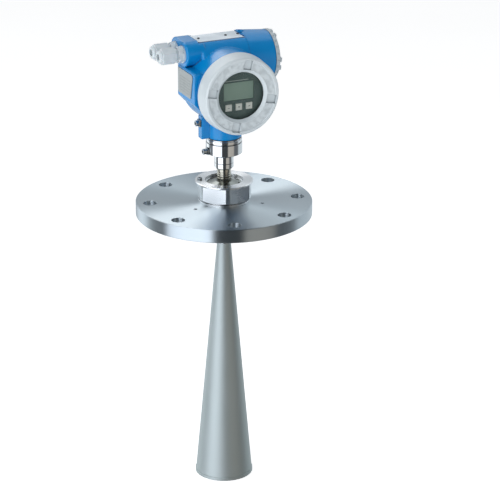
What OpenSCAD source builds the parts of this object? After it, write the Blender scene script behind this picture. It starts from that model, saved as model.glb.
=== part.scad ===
// Radar level transmitter: a flanged horn antenna below, a hexagonal process
// connection and a slim neck, and a two-chamber housing with a display cover
// that can be turned about the neck.  Millimetres, +Z up.
// Origin: centre of the flange's sealing (under) face.
// The display looks along -Y, the terminal cover along +X, the glands along -X.

/* [Flange] */
// Outside diameter of the flange
flange_od = 285; // [275:1:320]
// Thickness of the flange plate
flange_thk = 22; // [16:1:30]
// Distance of the bolt circle from the flange's rim
bolt_edge = 22.5; // [18:0.5:30]
// Number of bolt holes
bolt_count = 8; // [4:1:12]
// Diameter of each bolt hole
bolt_hole = 22; // [14:1:26]
// Turn of the first bolt hole from the X axis
bolt_turn = -16; // [-45:1:45]
// Chamfer on the flange's rim
flange_edge = 1; // [0.5:0.1:3]
// Distance of the tapped jacking holes from the collar
jack_out = 22; // [12:1:28]
// Diameter of each tapped jacking hole
jack_hole = 6; // [4:0.5:8]
// Depth of each tapped jacking hole
jack_depth = 14; // [6:1:15]
// Angle of the first jacking hole
jack_turn = 81; // [0:1:120]

/* [Process connection] */
// Diameter of the spigot that is welded into the flange
spigot_d = 60; // [50:1:70]
// Diameter of the round collar that stands on the flange
collar_d = 84; // [76:1:92]
// Height of the round collar
collar_h = 4; // [3:0.5:8]
// Depth of the relief between collar and hexagon
relief_in = 5; // [3:0.5:8]
// Height of the relief
relief_h = 2; // [1.5:0.5:6]
// Width across the flats of the hexagon
hex_af = 82; // [78:1:90]
// Diameter left at the hexagon's turned corners beyond its flats
hex_corner = 9; // [5:0.5:12]
// Height of the hexagon with its lip
hex_h = 29; // [20:1:36]
// Amount by which the round lip stands out over the hexagon's corners
lip_over = 1.3; // [0.5:0.1:3]
// Height of the round lip
lip_h = 3; // [2:0.5:6]
// Chamfer on the hexagon's foot
hex_chamfer = 2; // [1:0.5:4]
// Turn of the hexagon's first corner from the X axis
hex_turn = 14; // [0:1:60]
// Diameter of the recess in the hexagon's top
recess_d = 62; // [58:1:68]
// Depth of the recess
recess_depth = 6; // [4:0.5:9]
// Gap left between the clamp ring and the recess wall
ring_gap = 2.5; // [1:0.5:4]
// Depth of the clamp ring's top below the recess's rim
ring_sink = 1; // [0.5:0.5:2.5]
// Number of spanner notches in the clamp ring
ring_notches = 6; // [4:1:8]
// Width of each spanner notch
notch_w = 5; // [3:0.5:7]
// Diameter of the lock screw's head on the lip
pin_d = 8; // [6:0.5:9]
// Height of the lock screw's head
pin_head = 2.5; // [1.5:0.5:4]

/* [Horn antenna] */
// Outside diameter of the horn's root tube
root_d = 22.5; // [20:0.5:24]
// Length of the root tube below the flange
root_len = 50; // [30:1:80]
// Length of the root tube's spigot inside the cone
root_lap = 6; // [4:0.5:10]
// Length of the horn below the flange
horn_len = 458; // [300:1:600]
// Outside diameter of the cone at its mouth
mouth_d = 93; // [70:1:120]
// Wall of the horn
horn_wall = 2; // [1.5:0.1:3]
// Amount by which the mouth's bead stands out
bead = 1; // [0.5:0.1:2]
// Height of the mouth's bead
bead_h = 5; // [3:0.5:8]
// Length of the horn's root that screws into the connection
root_engage = 12; // [8:1:16]
// Length of the plastic window's cone
window_len = 55; // [40:1:80]

/* [Neck] */
// Outside diameter of the neck tube
neck_d = 22.4; // [20:0.2:24]
// Bore of the neck tube (waveguide)
neck_bore = 12; // [8:0.5:14]
// Free height from the hexagon's top to the neck sleeve
neck_free = 19.6; // [12:0.2:40]
// Wall of the neck sleeve
sleeve_wall = 4.3; // [3:0.1:6]
// Height of the neck sleeve
sleeve_h = 23; // [16:0.5:30]
// Height of the sleeve below its dividing groove
sleeve_split = 10; // [6:0.5:14]
// Wall of the steel adapter round the journal
adapter_wall = 7.3; // [6.5:0.1:9]
// Height of the steel adapter
adapter_h = 29.5; // [24:0.5:36]
// Height of the adapter's bottom chamfer
adapter_chamfer = 4; // [2:0.5:6]
// Diameter of the journal on which the housing turns
journal_d = 44; // [36:0.5:46]
// Thickness of the adapter's floor, which holds the journal
adapter_floor = 4; // [3:0.5:6]
// Height of the journal
journal_h = 19; // [14:0.5:22]
// Height of the neck lock screw above the journal's underside
lock_z = 4.2; // [3.6:0.1:6]
// Thickness of the seal between adapter and housing
neck_seal = 1.5; // [1:0.1:2.5]

/* [Housing] */
// Amount by which the housing's neck stands back from the adapter
neck_casting_in = 0.8; // [0:0.1:2]
// Height of the housing's neck below the display barrel
neck_casting_h = 23; // [18:1:33]
// Height of the terminal chamber's axis above the display's axis
terminal_rise = 32; // [28:0.5:34]
// Distance of the terminal chamber's axis behind the neck's axis
terminal_back = 30; // [28:0.5:36]
// Wall of the display barrel
barrel_wall = 7; // [5.5:0.1:8.5]
// Distance of the barrel's front face before the neck's axis
barrel_front = 44; // [42:0.5:48]
// Distance of the barrel's rear face behind the neck's axis
barrel_rear = 31; // [28:0.5:34]
// Distance of the display chamber's floor before the neck's axis
display_floor = 10; // [9:0.5:14]
// Bore of the terminal chamber
terminal_bore = 68; // [64:0.5:70]
// Wall of the terminal chamber at the gland end
terminal_wall = 10; // [8.5:0.5:12]
// Wall of the terminal chamber at its mouth
mouth_wall = 6; // [4.5:0.5:8]
// Length of the terminal chamber beyond the flat
terminal_nose = 46; // [40:0.5:58]
// Half length of the flat for the top plate
flat_half = 41; // [36:0.5:46]
// Depth of that flat below the chamber's crown
flat_depth = 6; // [4:0.5:7]
// Length of the gland block beyond the flat
gland_block_l = 23.3; // [20:0.1:30]
// Gap between the two glands' hexagons
gland_space = 1.5; // [1:0.1:4]
// Height of the glands above the terminal chamber's axis
gland_rise = 21; // [18:0.5:22]
// Corner radius of the gland block
gland_block_r = 20.5; // [18:0.5:22]
// Diameter of the tapped gland holes
gland_hole = 18.5; // [17:0.1:20]
// Distance of the side pad's face from the barrel's flank
pad_out = 4; // [2:0.5:8]
// Height of the side pad
pad_h = 50; // [46:0.5:54]
// Height of the side pad's foot below the display's axis
pad_drop = 16; // [14:0.5:20]
// Distance of the earth boss's face from the housing's neck
boss_out = 13; // [10:0.5:17]
// Width of the earth boss
boss_w = 14; // [12:0.5:18]
// Height of the external earth screw above the housing's underside
earth_z = 26.5; // [22:0.5:30]

/* [Display cover] */
// Amount by which the display cover stands out over the barrel
cover_over = 2.5; // [1:0.1:4]
// Amount by which the display cover's skirt tapers to its face
cover_taper = 2.2; // [0.5:0.1:4]
// Wall of the display cover's threaded spigot
spigot_wall = 4.5; // [4:0.1:6]
// Thickness of the display cover
cover_t = 28; // [26:0.5:32]
// Diameter of the display cover's window
window_d = 77; // [70:0.5:80]
// Thickness of the window glass
glass_t = 6; // [5:0.5:7]
// Number of wrench slots in the display cover
slot_count = 4; // [3:1:6]
// Width of each wrench slot
slot_w = 14; // [8:0.5:16]
// Depth of the wrench slots below the cover's rim
slot_depth = 4.5; // [2:0.5:5]
// Turn of the slots as the closed cover stands
slot_turn = -11.3; // [-45:0.1:45]
// Depth of the sunk band between rim and window
band_depth = 1.5; // [0.5:0.1:2]
// Pitch of the cover threads
cover_pitch = 2; // [1:0.5:2.5]

/* [Terminal cover] */
// Amount by which the terminal cover stands out over the chamber's mouth
tcover_over = 0.5; // [0:0.1:2]
// Thickness of the terminal cover without its lugs
tcover_t = 7; // [6:0.5:10]
// Height of the wrench lugs on the terminal cover
lug_h = 2.8; // [2:0.1:4]
// Width of each wrench lug
lug_w = 7; // [5:0.5:8]
// Length of each wrench lug
lug_l = 13; // [10:0.5:16]
// Number of scallops round the terminal cover
tcover_scallops = 24; // [18:1:28]
// Depth of the scallops
scallop_depth = 1.2; // [0.8:0.1:1.6]

/* [Display] */
// Diameter of the display module
module_d = 92; // [88:1:96]
// Gap between the display module and the cover's spigot
module_gap = 4.45; // [1:0.05:6]
// Depth of the display module
module_t = 19; // [16:0.5:20]
// Width of the liquid crystal window
lcd_w = 51; // [44:0.5:54]
// Height of the liquid crystal window
lcd_h = 29; // [24:0.5:31]
// Height of the liquid crystal's centre above the display's axis
lcd_rise = 5; // [4:0.5:7]
// Width of each square key
key_w = 10.5; // [8:0.1:12]
// Distance between keys
key_pitch = 17.5; // [15:0.1:19]
// Distance of the keys below the display's axis
key_drop = 20.5; // [19:0.1:23]
// Travel of each key
key_travel = 0.8; // [0.5:0.1:1]

/* [Plates and glands] */
// Distance of the top plate from the flat's edges
plate_edge = 2; // [1:0.5:10]
// Thickness of the plates
plate_t = 1.2; // [0.8:0.1:2]
// Distance of the side plate from the pad's foot
side_plate_edge = 6; // [4:0.5:12]
// Width across the flats of the glands
gland_af = 24; // [22:0.1:24.5]
// Diameter left at the glands' turned corners beyond their flats
gland_corner = 3; // [1:0.1:3.4]
// Length of the gland body's collar
gland_collar = 10; // [8:0.5:13]
// Gap between the closed gland nut and the collar
gland_gap = 4; // [2:0.5:6]
// Length of the gland nut's hexagon
gland_nut_l = 23; // [20:0.5:26]
// Height of the gland nut's dome
gland_dome = 5; // [3:0.5:7]
// Diameter of the cable passage
cable_d = 10; // [8:0.5:11]

/* [Clearances] */
// Radial clearance of turned and threaded fits
fit_gap = 0.05; // [0.02:0.01:0.1]
// Gap between faces of pieces that move apart
face_gap = 0.3; // [0.2:0.05:0.4]
// Radial clearance of the loose inner pieces
loose_gap = 0.5; // [0.3:0.1:1]

/* [Hidden] */

// colours of the finishes
steel = "#a9b2b8";
dark_steel = "#7d868c";
blasted = "#9aa3a8";
blue = "#0078c8";
grey_paint = "#c8d2d8";
plate_grey = "#b8bcbc";
plastic_grey = "#d5dde2";
rubber_black = "#202326";
bezel_green = "#3f5150";
lcd_green = "#60756b";
key_grey = "#b9bdb2";
board_green = "#2f5a3c";
ptfe_white = "#ececE8";
glass_tint = "#8fa4a0";

eps = 0.01;

// diameters and places that follow from the neighbouring sizes
bolt_circle = flange_od - 2*bolt_edge;
jack_circle = collar_d + 2*jack_out;
relief_d = collar_d - 2*relief_in;
hex_corner_d = hex_af + hex_corner;
lip_d = hex_corner_d + 2*lip_over;
ring_h = recess_depth - ring_sink;
sleeve_d = neck_d + 2*sleeve_wall;
adapter_d = journal_d + 2*adapter_wall;
neck_casting_d = adapter_d - 2*neck_casting_in;
display_bore = module_d + 2*(module_gap + spigot_wall + fit_gap);
barrel_d = display_bore + 2*barrel_wall;
barrel_l = barrel_front + barrel_rear;
display_rise = barrel_d/2 + neck_casting_h;
terminal_d = terminal_bore + 2*terminal_wall;
terminal_mouth_d = terminal_bore + 2*mouth_wall;
terminal_mouth = flat_half + terminal_nose;
gland_face = flat_half + gland_block_l;
gland_corner_d = gland_af + gland_corner;
gland_pitch = gland_corner_d + gland_space;
pad_face = barrel_d/2 + pad_out;
pad_l = barrel_l - 8;
boss_face = neck_casting_d/2 + boss_out;
cover_d = barrel_d + 2*cover_over;
cover_face_d = cover_d - 2*cover_taper;
tcover_d = terminal_mouth_d + 2*tcover_over;
plate_l = 2*flat_half - 2*plate_edge;

// heights of the stack
z_flange = flange_thk;
z_hex = z_flange + collar_h + relief_h;
z_hex_top = z_hex + hex_h;
z_recess = z_hex_top - recess_depth;
z_sleeve = z_hex_top + neck_free;
z_adapter = z_sleeve + sleeve_h + face_gap;
z_adapter_top = z_adapter + adapter_h;
z_housing = z_adapter_top + neck_seal;
z_display = z_housing + display_rise;
z_terminal = z_display + terminal_rise;
z_gland = z_terminal + gland_rise;
z_flat = z_terminal + terminal_d/2 - flat_depth;
z_earth = z_housing + earth_z;

// neck and head details
journal_z = z_adapter + adapter_floor + face_gap;
journal_top = journal_z + journal_h;
z_lock = journal_z + lock_z;
adapter_spigot_d = journal_d + 7;
adapter_spigot_wall = 5.6;
adapter_spigot_h = 8;
lock_flat = adapter_d/2 - 1.5;
pin_depth = 8;
pin_shank = 3.5;
washer_t = 2.2;
clamp_t = 1.6;
clamp_lift = washer_t + 1.2;
rf_d = adapter_spigot_d - 2*adapter_spigot_wall;
neck_reach = 24;
boss_reach = 14;
boss_root = 15;
spot_w = 16;
spot_h = 14;
gland_hole_in = 14;
top_screw_out = 10;
top_screw_mid = 16;
top_screw_x = [-flat_half + top_screw_out, top_screw_mid, flat_half - 4];
wire_duct = [20, 15];
wire_duct_d = 10;
wire_duct_l = 25;
inner_earth_y = terminal_back - 14;
inner_earth_z = z_terminal - 16;

// terminal block
block_l = 46;
block_w = 30;
block_h = 20;
block_foot_h = 10;
block_x = -8;
block_z = z_terminal - sqrt(pow(terminal_bore/2, 2) - pow(block_w/2, 2)) + fit_gap;

// places of the display pieces, measured along -Y
y_front = -barrel_front;
y_cover = y_front - face_gap;
y_floor = -display_floor;
cover_spigot = 13;
glass_front = cover_t - 7;
retainer_h = 3;
holder_bore = module_d - 10;
holder_lip = 4;
holder_foot = 3;
clip_w = 12;
clip_h = 4;
case_drop = 15.5;
case_front = cover_t - case_drop;
case_step = 2;
case_plate = 5.4;
board_t = 1.6;
key_hole = key_w + 2*face_gap;
electronics_t = 16;
pocket_top = z_terminal - terminal_bore/2 - 9;
side_plate_back = 3;
side_plate_front = 7;
side_plate_head = 4;

// section of the covers' and the neck's rubber rings, and of their grooves
seal_t = 1.6;
groove_w = 2.6;
groove_depth = 2.3;

// a disc or ring profile turned about the Y axis, with +Z of the profile
// pointing out of the display
module facing_front(y) {
    translate([0, y, z_display]) rotate([90, 0, 0]) children();
}

// the same about the terminal chamber's axis, pointing out along +X
module facing_right(x) {
    translate([x, terminal_back, z_terminal]) rotate([0, 90, 0]) children();
}

// the same about a gland's axis, pointing out along -X
module facing_left(x, side) {
    translate([-x, terminal_back + side*gland_pitch/2, z_gland]) rotate([0, -90, 0]) children();
}

// regular hexagonal prism with corners turned to a diameter and both ends
// chamfered by the turning
module turned_hex(af, corner_d, h, chamfer, turn = 0) {
    intersection() {
        rotate(turn) cylinder(d = af/cos(30), h = h, $fn = 6);
        rotate_extrude($fn = 96) polygon([
            [0, 0], [corner_d/2 - 1.8*chamfer, 0], [corner_d/2, chamfer],
            [corner_d/2, h - chamfer], [corner_d/2 - 1.8*chamfer, h], [0, h]]);
    }
}

module tube(od, id, h) {
    difference() {
        cylinder(d = od, h = h, $fn = 96);
        translate([0, 0, -1]) cylinder(d = id, h = h + 2, $fn = 96);
    }
}

// rubber ring lying in a groove of a spigot of radius r
module seal_ring(r) {
    rotate_extrude($fn = 96) translate([r - groove_depth/2, 0]) circle(d = seal_t, $fn = 24);
}

// copies of the children on a circle
module ring_of(count, r, turn = 0) {
    for (i = [0:count - 1])
        rotate(turn + i*360/count) translate([r, 0, 0]) children();
}

// ---------------------------------------------------------------- flange
module flange() {
    r = flange_od/2;
    e = flange_edge;
    color(steel) difference() {
        rotate_extrude($fn = 180) polygon([
            [spigot_d/2 + fit_gap, 0], [r - e, 0], [r, e],
            [r, flange_thk - e], [r - e, flange_thk], [spigot_d/2 + fit_gap, flange_thk]]);
        ring_of(bolt_count, bolt_circle/2, bolt_turn)
            translate([0, 0, -1]) cylinder(d = bolt_hole, h = flange_thk + 2, $fn = 48);
        ring_of(3, jack_circle/2, jack_turn)
            translate([0, 0, flange_thk - jack_depth])
                cylinder(d = jack_hole, h = jack_depth + 1, $fn = 24);
    }
}

// -------------------------------------------------- process connection
// turned and milled in one piece: welding spigot, collar, relief, hexagon
module hex_connection() {
    color(steel) difference() {
        union() {
            cylinder(d = spigot_d, h = z_flange + 1, $fn = 96);
            translate([0, 0, z_flange]) cylinder(d = collar_d, h = collar_h, $fn = 96);
            translate([0, 0, z_flange]) cylinder(d = relief_d, h = collar_h + relief_h + 1, $fn = 96);
            translate([0, 0, z_hex])
                turned_hex(hex_af, hex_corner_d, hex_h - 1, hex_chamfer, hex_turn);
            translate([0, 0, z_hex_top - lip_h]) rotate_extrude($fn = 144) polygon([
                [0, 0], [lip_d/2 - 0.6, 0], [lip_d/2, 0.6], [lip_d/2, lip_h - 0.8],
                [lip_d/2 - 0.8, lip_h], [0, lip_h]]);
        }
        translate([0, 0, -1]) cylinder(d = neck_d + 2*fit_gap, h = z_hex_top, $fn = 96);
        translate([0, 0, -1]) cylinder(d = root_d + 2*fit_gap, h = root_engage + 1 + fit_gap, $fn = 96);
        translate([0, 0, z_recess]) cylinder(d = recess_d, h = recess_depth + 1, $fn = 96);
        pin_place() translate([0, 0, -pin_depth])
            cylinder(d = pin_shank + 2*fit_gap, h = pin_depth + 2, $fn = 24);
    }
}

module pin_place() {
    rotate(156) translate([(recess_d + lip_d)/4, 0, z_hex_top]) children();
}

// small socket-head screw that locks the clamp ring
module lock_pin() {
    color(dark_steel) pin_place() difference() {
        union() {
            cylinder(d = pin_d, h = pin_head, $fn = 48);
            translate([0, 0, fit_gap - pin_depth]) cylinder(d = pin_shank, h = pin_depth, $fn = 24);
        }
        translate([0, 0, pin_head*0.4]) cylinder(d = pin_d*0.5, h = pin_head, $fn = 6);
    }
}

// conical ring nut that clamps the neck tube in the recess
module clamp_ring() {
    r_out = recess_d/2 - ring_gap;
    color(steel) difference() {
        translate([0, 0, z_recess]) rotate_extrude($fn = 96) polygon([
            [neck_d/2 + fit_gap, 0], [r_out, 0], [r_out, 1.2],
            [neck_d/2 + 3, ring_h], [neck_d/2 + fit_gap, ring_h]]);
        for (i = [0:ring_notches - 1])
            rotate(i*360/ring_notches + 20) translate([r_out - 5, -notch_w/2, z_recess + 0.6])
                cube([6, notch_w, ring_h]);
    }
}

// ---------------------------------------------------------------- horn
// polished root tube: a threaded end in the process connection, and a
// spigot under the shoulder on which the cone is welded
module horn_root() {
    r0 = root_d/2;
    r = r0 - horn_wall;
    ri = r0 - 2*horn_wall;
    color(steel) rotate_extrude($fn = 96) polygon([
        [ri, root_engage], [r0, root_engage], [r0, -root_len],
        [r, -root_len], [r, -root_len - root_lap], [ri, -root_len - root_lap]]);
}

// spun cone with a turned band at the mouth, whose straight land takes the
// plug that closes the horn in transport
module horn_antenna() {
    r0 = root_d/2;
    r1 = mouth_d/2;
    w = horn_wall;
    ri = r0 - w + fit_gap;
    color(blasted) rotate_extrude($fn = 128) polygon([
        [ri, -root_len], [r0, -root_len], [r1, -horn_len + bead_h],
        [r1 + bead, -horn_len + bead_h], [r1 + bead, -horn_len], [r1 - w, -horn_len],
        [r1 - w, -horn_len + bead_h], [ri, -root_len - root_lap]]);
}

// plastic window: plug in the root tube and a pointed cone in the horn
module antenna_window() {
    r = root_d/2 - 2*horn_wall - fit_gap;
    foot = -root_len - root_lap;
    color(ptfe_white) rotate_extrude($fn = 64) polygon([
        [0, -6], [r, -6], [r, foot], [0, foot - window_len]]);
}

// ---------------------------------------------------------------- neck
// waveguide tube with a turned journal head; the head is held by the
// adapter's floor and carries a vee groove for the lock screw
module neck_tube() {
    r = neck_d/2;
    j = journal_d/2;
    zb = root_engage + 3*fit_gap;
    g = z_hex_top + 4;
    v = z_lock;
    o = journal_top - 5;
    k = groove_w/2;
    color(steel) rotate_extrude($fn = 96) polygon(concat(
        [[neck_bore/2, zb], [r, zb]],
        [for (i = [0:2], s = [[0, 0], [-0.6, 0.6], [-0.6, 1.8], [0, 2.4]]) [r + s[0], g + i*4 + s[1]]],
        [[r, journal_z], [j, journal_z], [j, v - 3.4], [j - 2.4, v - 1], [j - 2.4, v + 1],
         [j, v + 3.4], [j, o - k], [j - groove_depth, o - k],
         [j - groove_depth, o + k], [j, o + k],
         [j, journal_top], [neck_bore/2, journal_top]]));
}

module neck_sleeve() {
    r = sleeve_d/2;
    color(steel) translate([0, 0, z_sleeve]) rotate_extrude($fn = 96) polygon([
        [neck_d/2 + fit_gap, 0], [r - 2.5, 0], [r, 2.5], [r, sleeve_split - 0.5],
        [r - 0.8, sleeve_split], [r, sleeve_split + 0.5], [r, sleeve_h - 0.5],
        [r - 0.5, sleeve_h], [neck_d/2 + fit_gap, sleeve_h]]);
}

// rubber ring in the journal's upper groove
module neck_oring() {
    color(rubber_black) translate([0, 0, journal_top - 5]) seal_ring(journal_d/2);
}

// ---------------------------------------------------------------- adapter
// steel cup under the housing: floor, journal bore, two ring grooves, spigot
module neck_adapter() {
    r = adapter_d/2;
    h = adapter_h;
    c = adapter_chamfer;
    color(steel) difference() {
        translate([0, 0, z_adapter]) rotate_extrude($fn = 96) polygon([
            [neck_d/2 + 2*face_gap, 0], [r - 2*c, 0], [r, c], [r, h - 8.2], [r - 1.6, h - 7.6],
            [r - 1.6, h - 6.2], [r - 0.3, h - 5.6], [r - 0.3, h - 1.8], [r - 1.6, h - 1.4], [r - 1.6, h],
            [adapter_spigot_d/2, h], [adapter_spigot_d/2, h + adapter_spigot_h],
            [journal_d/2 + fit_gap, h + adapter_spigot_h], [journal_d/2 + fit_gap, adapter_floor],
            [neck_d/2 + 2*face_gap, adapter_floor]]);
        // spot face and tapped hole for the lock screw
        translate([-r - 5, -spot_w/2, z_lock - spot_h/2])
            cube([5 + r - lock_flat, spot_w, spot_h]);
        translate([-r - 1, 0, z_lock]) rotate([0, 90, 0])
            cylinder(d = 5 + 2*fit_gap, h = r - journal_d/2 + 4, $fn = 32);
    }
}

module adapter_seal() {
    color(rubber_black) translate([0, 0, z_adapter_top])
        tube(min(adapter_d - 3.2, neck_casting_d) - 0.6, adapter_spigot_d + 1, neck_seal);
}

// hexagon-head screw with an internal hexagon, laid along +X from its head
module side_screw(thread_d, shank, head_d, head_h) {
    rotate([0, 90, 0]) difference() {
        union() {
            translate([0, 0, -head_h]) cylinder(d = head_d, h = head_h, $fn = 48);
            cylinder(d = thread_d, h = shank, $fn = 32);
        }
        translate([0, 0, -head_h - 1]) cylinder(d = head_d*0.55, h = head_h*0.6 + 1, $fn = 6);
    }
}

module lock_screw() {
    color(dark_steel) translate([-lock_flat - washer_t, 0, z_lock])
        side_screw(5, lock_flat + washer_t - journal_d/2 + 0.4, 9.5, 7.2);
}

module lock_washer() {
    color(steel) translate([-lock_flat - washer_t, 0, z_lock]) rotate([0, 90, 0])
        tube(13, 5 + 2*fit_gap, washer_t);
}

module earth_screw() {
    color(dark_steel) translate([-boss_face - clamp_lift, 0, z_earth]) side_screw(6, 12, 9.5, 5);
}

// saddle clamp of the external earth terminal with its bent lips
module earth_clamp() {
    color(steel) translate([-boss_face, 0, z_earth]) difference() {
        union() {
            translate([-clamp_lift, -5.5, -5.5]) cube([clamp_t, 11, 11]);
            translate([-clamp_lift, -5.5, -5.5]) cube([clamp_lift, 11, clamp_t]);
            translate([-clamp_lift, -5.5, 5.5 - clamp_t]) cube([clamp_lift, 11, clamp_t]);
        }
        translate([-6, 0, 0]) rotate([0, 90, 0]) cylinder(d = 6 + 2*fit_gap, h = 8, $fn = 32);
    }
}

// ---------------------------------------------------------------- housing
// die-cast body: display barrel facing -Y, terminal chamber along X behind
// and above it, gland block, side pad, neck and earth boss
module barrel_form() {
    r = barrel_d/2;
    f = 6;
    l = barrel_l;
    translate([0, barrel_rear, z_display]) rotate([90, 0, 0]) rotate_extrude($fn = 128)
        polygon(concat([[0, 0]],
            [for (a = [-90:15:0]) [r - f + f*cos(a), f + f*sin(a)]],
            [[r, l - 1], [r - 1, l], [0, l]]));
}

module terminal_form() {
    r = terminal_d/2;
    f = 5;
    l = terminal_mouth;
    facing_right(-flat_half) rotate_extrude($fn = 128)
        polygon(concat([[0, 0]],
            [for (a = [-90:15:0]) [r - f + f*cos(a), f + f*sin(a)]],
            [[r, 2*flat_half], [r + 0.5, 2*flat_half],
             [terminal_mouth_d/2, flat_half + l], [0, flat_half + l]]));
}

module gland_block_form() {
    f = 2;
    r = gland_block_r;
    l = gland_face - flat_half + 8;
    p = gland_pitch;
    for (s = [-1, 1])
        facing_left(gland_face - l, s) rotate_extrude($fn = 96)
            polygon([[0, 0], [r, 0], [r, l - f], [r - f*0.3, l - f*0.3], [r - f, l], [0, l]]);
    translate([-gland_face, terminal_back - p/2, z_gland - r]) cube([l - 1, p, 2*r]);
}

module side_pad_form() {
    x = pad_face;
    z0 = z_display - pad_drop;
    z1 = z0 + pad_h;
    translate([0, barrel_rear, 0]) rotate([90, 0, 0])
        linear_extrude(pad_l) polygon([
            [-x, z0], [-x, z1 - 2], [-x + 2, z1], [-barrel_d/4, z1],
            [-barrel_d/4, z0 - 12], [-x + 11, z0 - 12]]);
}

module earth_boss_form() {
    translate([-boss_face, -boss_w/2, z_housing + 1])
        cube([boss_face - boss_root, boss_w, neck_casting_h + boss_reach]);
}

module housing() {
    rb = terminal_bore/2;
    color(blue) difference() {
        union() {
            translate([0, 0, z_housing])
                cylinder(d1 = neck_casting_d - 1.5, d2 = neck_casting_d, h = 1.5, $fn = 96);
            translate([0, 0, z_housing + 1.4])
                cylinder(d = neck_casting_d, h = neck_casting_h + neck_reach, $fn = 96);
            barrel_form();
            terminal_form();
            gland_block_form();
            side_pad_form();
            earth_boss_form();
        }
        // flat for the top plate
        translate([-flat_half, terminal_back - terminal_d/2, z_flat])
            cube([2*flat_half, terminal_d, flat_depth + 10]);
        for (x = top_screw_x)
            translate([x, terminal_back, z_flat - 5]) cylinder(d = 2.5, h = 6, $fn = 24);
        translate([flat_half - 1, terminal_back, z_flat])
            cylinder(d = 14, h = flat_depth + 4, $fn = 48);
        // display chamber and the electronics pocket behind its floor
        facing_front(y_floor) cylinder(d = display_bore, h = barrel_front, $fn = 128);
        intersection() {
            facing_front(barrel_rear - 7)
                cylinder(d = display_bore - 2, h = barrel_rear - 7 + display_floor + 1, $fn = 128);
            translate([-display_bore/2, -display_floor - 1, z_display - display_bore/2])
                cube([display_bore, display_floor + barrel_rear, pocket_top + display_bore/2 - z_display]);
        }
        // terminal chamber, gland holes, wire duct to the pocket
        facing_right(-flat_half + 6)
            cylinder(d = terminal_bore, h = terminal_mouth + flat_half, $fn = 128);
        for (s = [-1, 1])
            facing_left(flat_half - gland_hole_in, s)
                cylinder(d = gland_hole, h = gland_face - flat_half + gland_hole_in + 1, $fn = 48);
        translate([wire_duct.x, wire_duct.y, pocket_top - 5])
            cylinder(d = wire_duct_d, h = wire_duct_l, $fn = 48);
        // neck: spigot seat and module bore
        translate([0, 0, z_housing - 1])
            cylinder(d = adapter_spigot_d + 2*fit_gap, h = adapter_spigot_h + 1.2, $fn = 96);
        translate([0, 0, z_housing - 1])
            cylinder(d = rf_d + 2*fit_gap, h = display_rise - display_bore/2 + 10, $fn = 96);
        // tapped hole of the external earth screw
        translate([-boss_face - 1, 0, z_earth]) rotate([0, 90, 0])
            cylinder(d = 6 + 2*fit_gap, h = 11, $fn = 32);
        // tapped hole of the inner earth screw, in the chamber's end wall
        translate([-flat_half + 7, inner_earth_y, inner_earth_z]) rotate([0, -90, 0])
            cylinder(d = 4 + 2*fit_gap, h = 6, $fn = 24);
    }
}

// microwave module: can with a cooling collar, seated in the neck bore
module rf_module() {
    z0 = journal_top + 2;
    color(dark_steel) translate([0, 0, z0]) difference() {
        cylinder(d = rf_d, h = z_display - display_bore/2 - z0, $fn = 96);
        translate([0, 0, -1]) cylinder(d = neck_bore, h = 6, $fn = 48);
    }
}

// ---------------------------------------------------------------- display
module electronics_module() {
    r = display_bore/2 - loose_gap;
    color(rubber_black) facing_front(y_floor - fit_gap) difference() {
        union() {
            cylinder(r = r, h = 3, $fn = 96);
            cylinder(r = r - 6, h = electronics_t, $fn = 96);
        }
        for (i = [0:5]) rotate(30 + 60*i) translate([r - 3, 0, -1]) cylinder(d = 3.4, h = 5, $fn = 24);
    }
}

// moulded ring that carries the display at its clips
module display_holder() {
    l = barrel_front - display_floor - electronics_t - fit_gap;
    color(rubber_black) facing_front(y_floor - electronics_t - fit_gap) difference() {
        union() {
            tube(module_d, holder_bore, l + face_gap + case_front - module_t);
            tube(module_d + 2*holder_lip, holder_bore, holder_foot);
        }
        for (i = [0:2])
            rotate(90 + 120*i) translate([-clip_w/2, -module_d, holder_foot + 2])
                cube([clip_w, 2*module_d, clip_h]);
    }
}

// face of the display module: a shallow cup with the crystal's seat and the
// key holes in its front plate
module display_case() {
    r = module_d/2;
    t = module_t;
    f = window_d/2 + 0.5;
    color(bezel_green) facing_front(y_cover) translate([0, 0, case_front - t]) difference() {
        rotate_extrude($fn = 96) polygon([
            [r - 2.5, 0], [r, 0], [r, t - case_step - 1], [r - 1, t - case_step], [f, t - case_step],
            [f, t - 0.5], [f - 0.5, t], [0, t], [0, t - case_plate], [r - 2.5, t - case_plate]]);
        translate([-lcd_w/2 - 2, lcd_rise - lcd_h/2 - 2, t - case_plate - 1])
            cube([lcd_w + 4, lcd_h + 4, case_plate - 0.4]);
        translate([-lcd_w/2, lcd_rise - lcd_h/2, t - case_plate]) cube([lcd_w, lcd_h, case_plate + 1]);
        for (i = [-1:1])
            translate([i*key_pitch - key_hole/2, -key_drop - key_hole/2, t - case_plate - 1])
                cube([key_hole, key_hole, case_plate + 2]);
    }
}

module display_board() {
    color(board_green) facing_front(y_cover) translate([0, 0, case_front - case_plate - board_t])
        cylinder(d = module_d - 6, h = board_t - fit_gap, $fn = 96);
}

module lcd() {
    w = lcd_w + 3.2;
    h = lcd_h + 3.2;
    color(lcd_green) facing_front(y_cover) translate([-w/2, lcd_rise - h/2, case_front - case_plate])
        cube([w, h, case_plate - 1.4 - fit_gap]);
}

// push key: square cap with a stem that reaches the board
module key_at(i) {
    cap = case_plate - key_travel - 2*face_gap;
    color(key_grey) facing_front(y_cover) translate([i*key_pitch, -key_drop, case_front - case_plate]) {
        translate([-key_w/2, -key_w/2, case_plate - cap]) cube([key_w, key_w, cap + 1.2]);
        translate([0, 0, key_travel + face_gap]) cylinder(d = 4, h = face_gap + 1, $fn = 32);
    }
}
module key_left() { key_at(-1); }
module key_middle() { key_at(0); }
module key_right() { key_at(1); }

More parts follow.
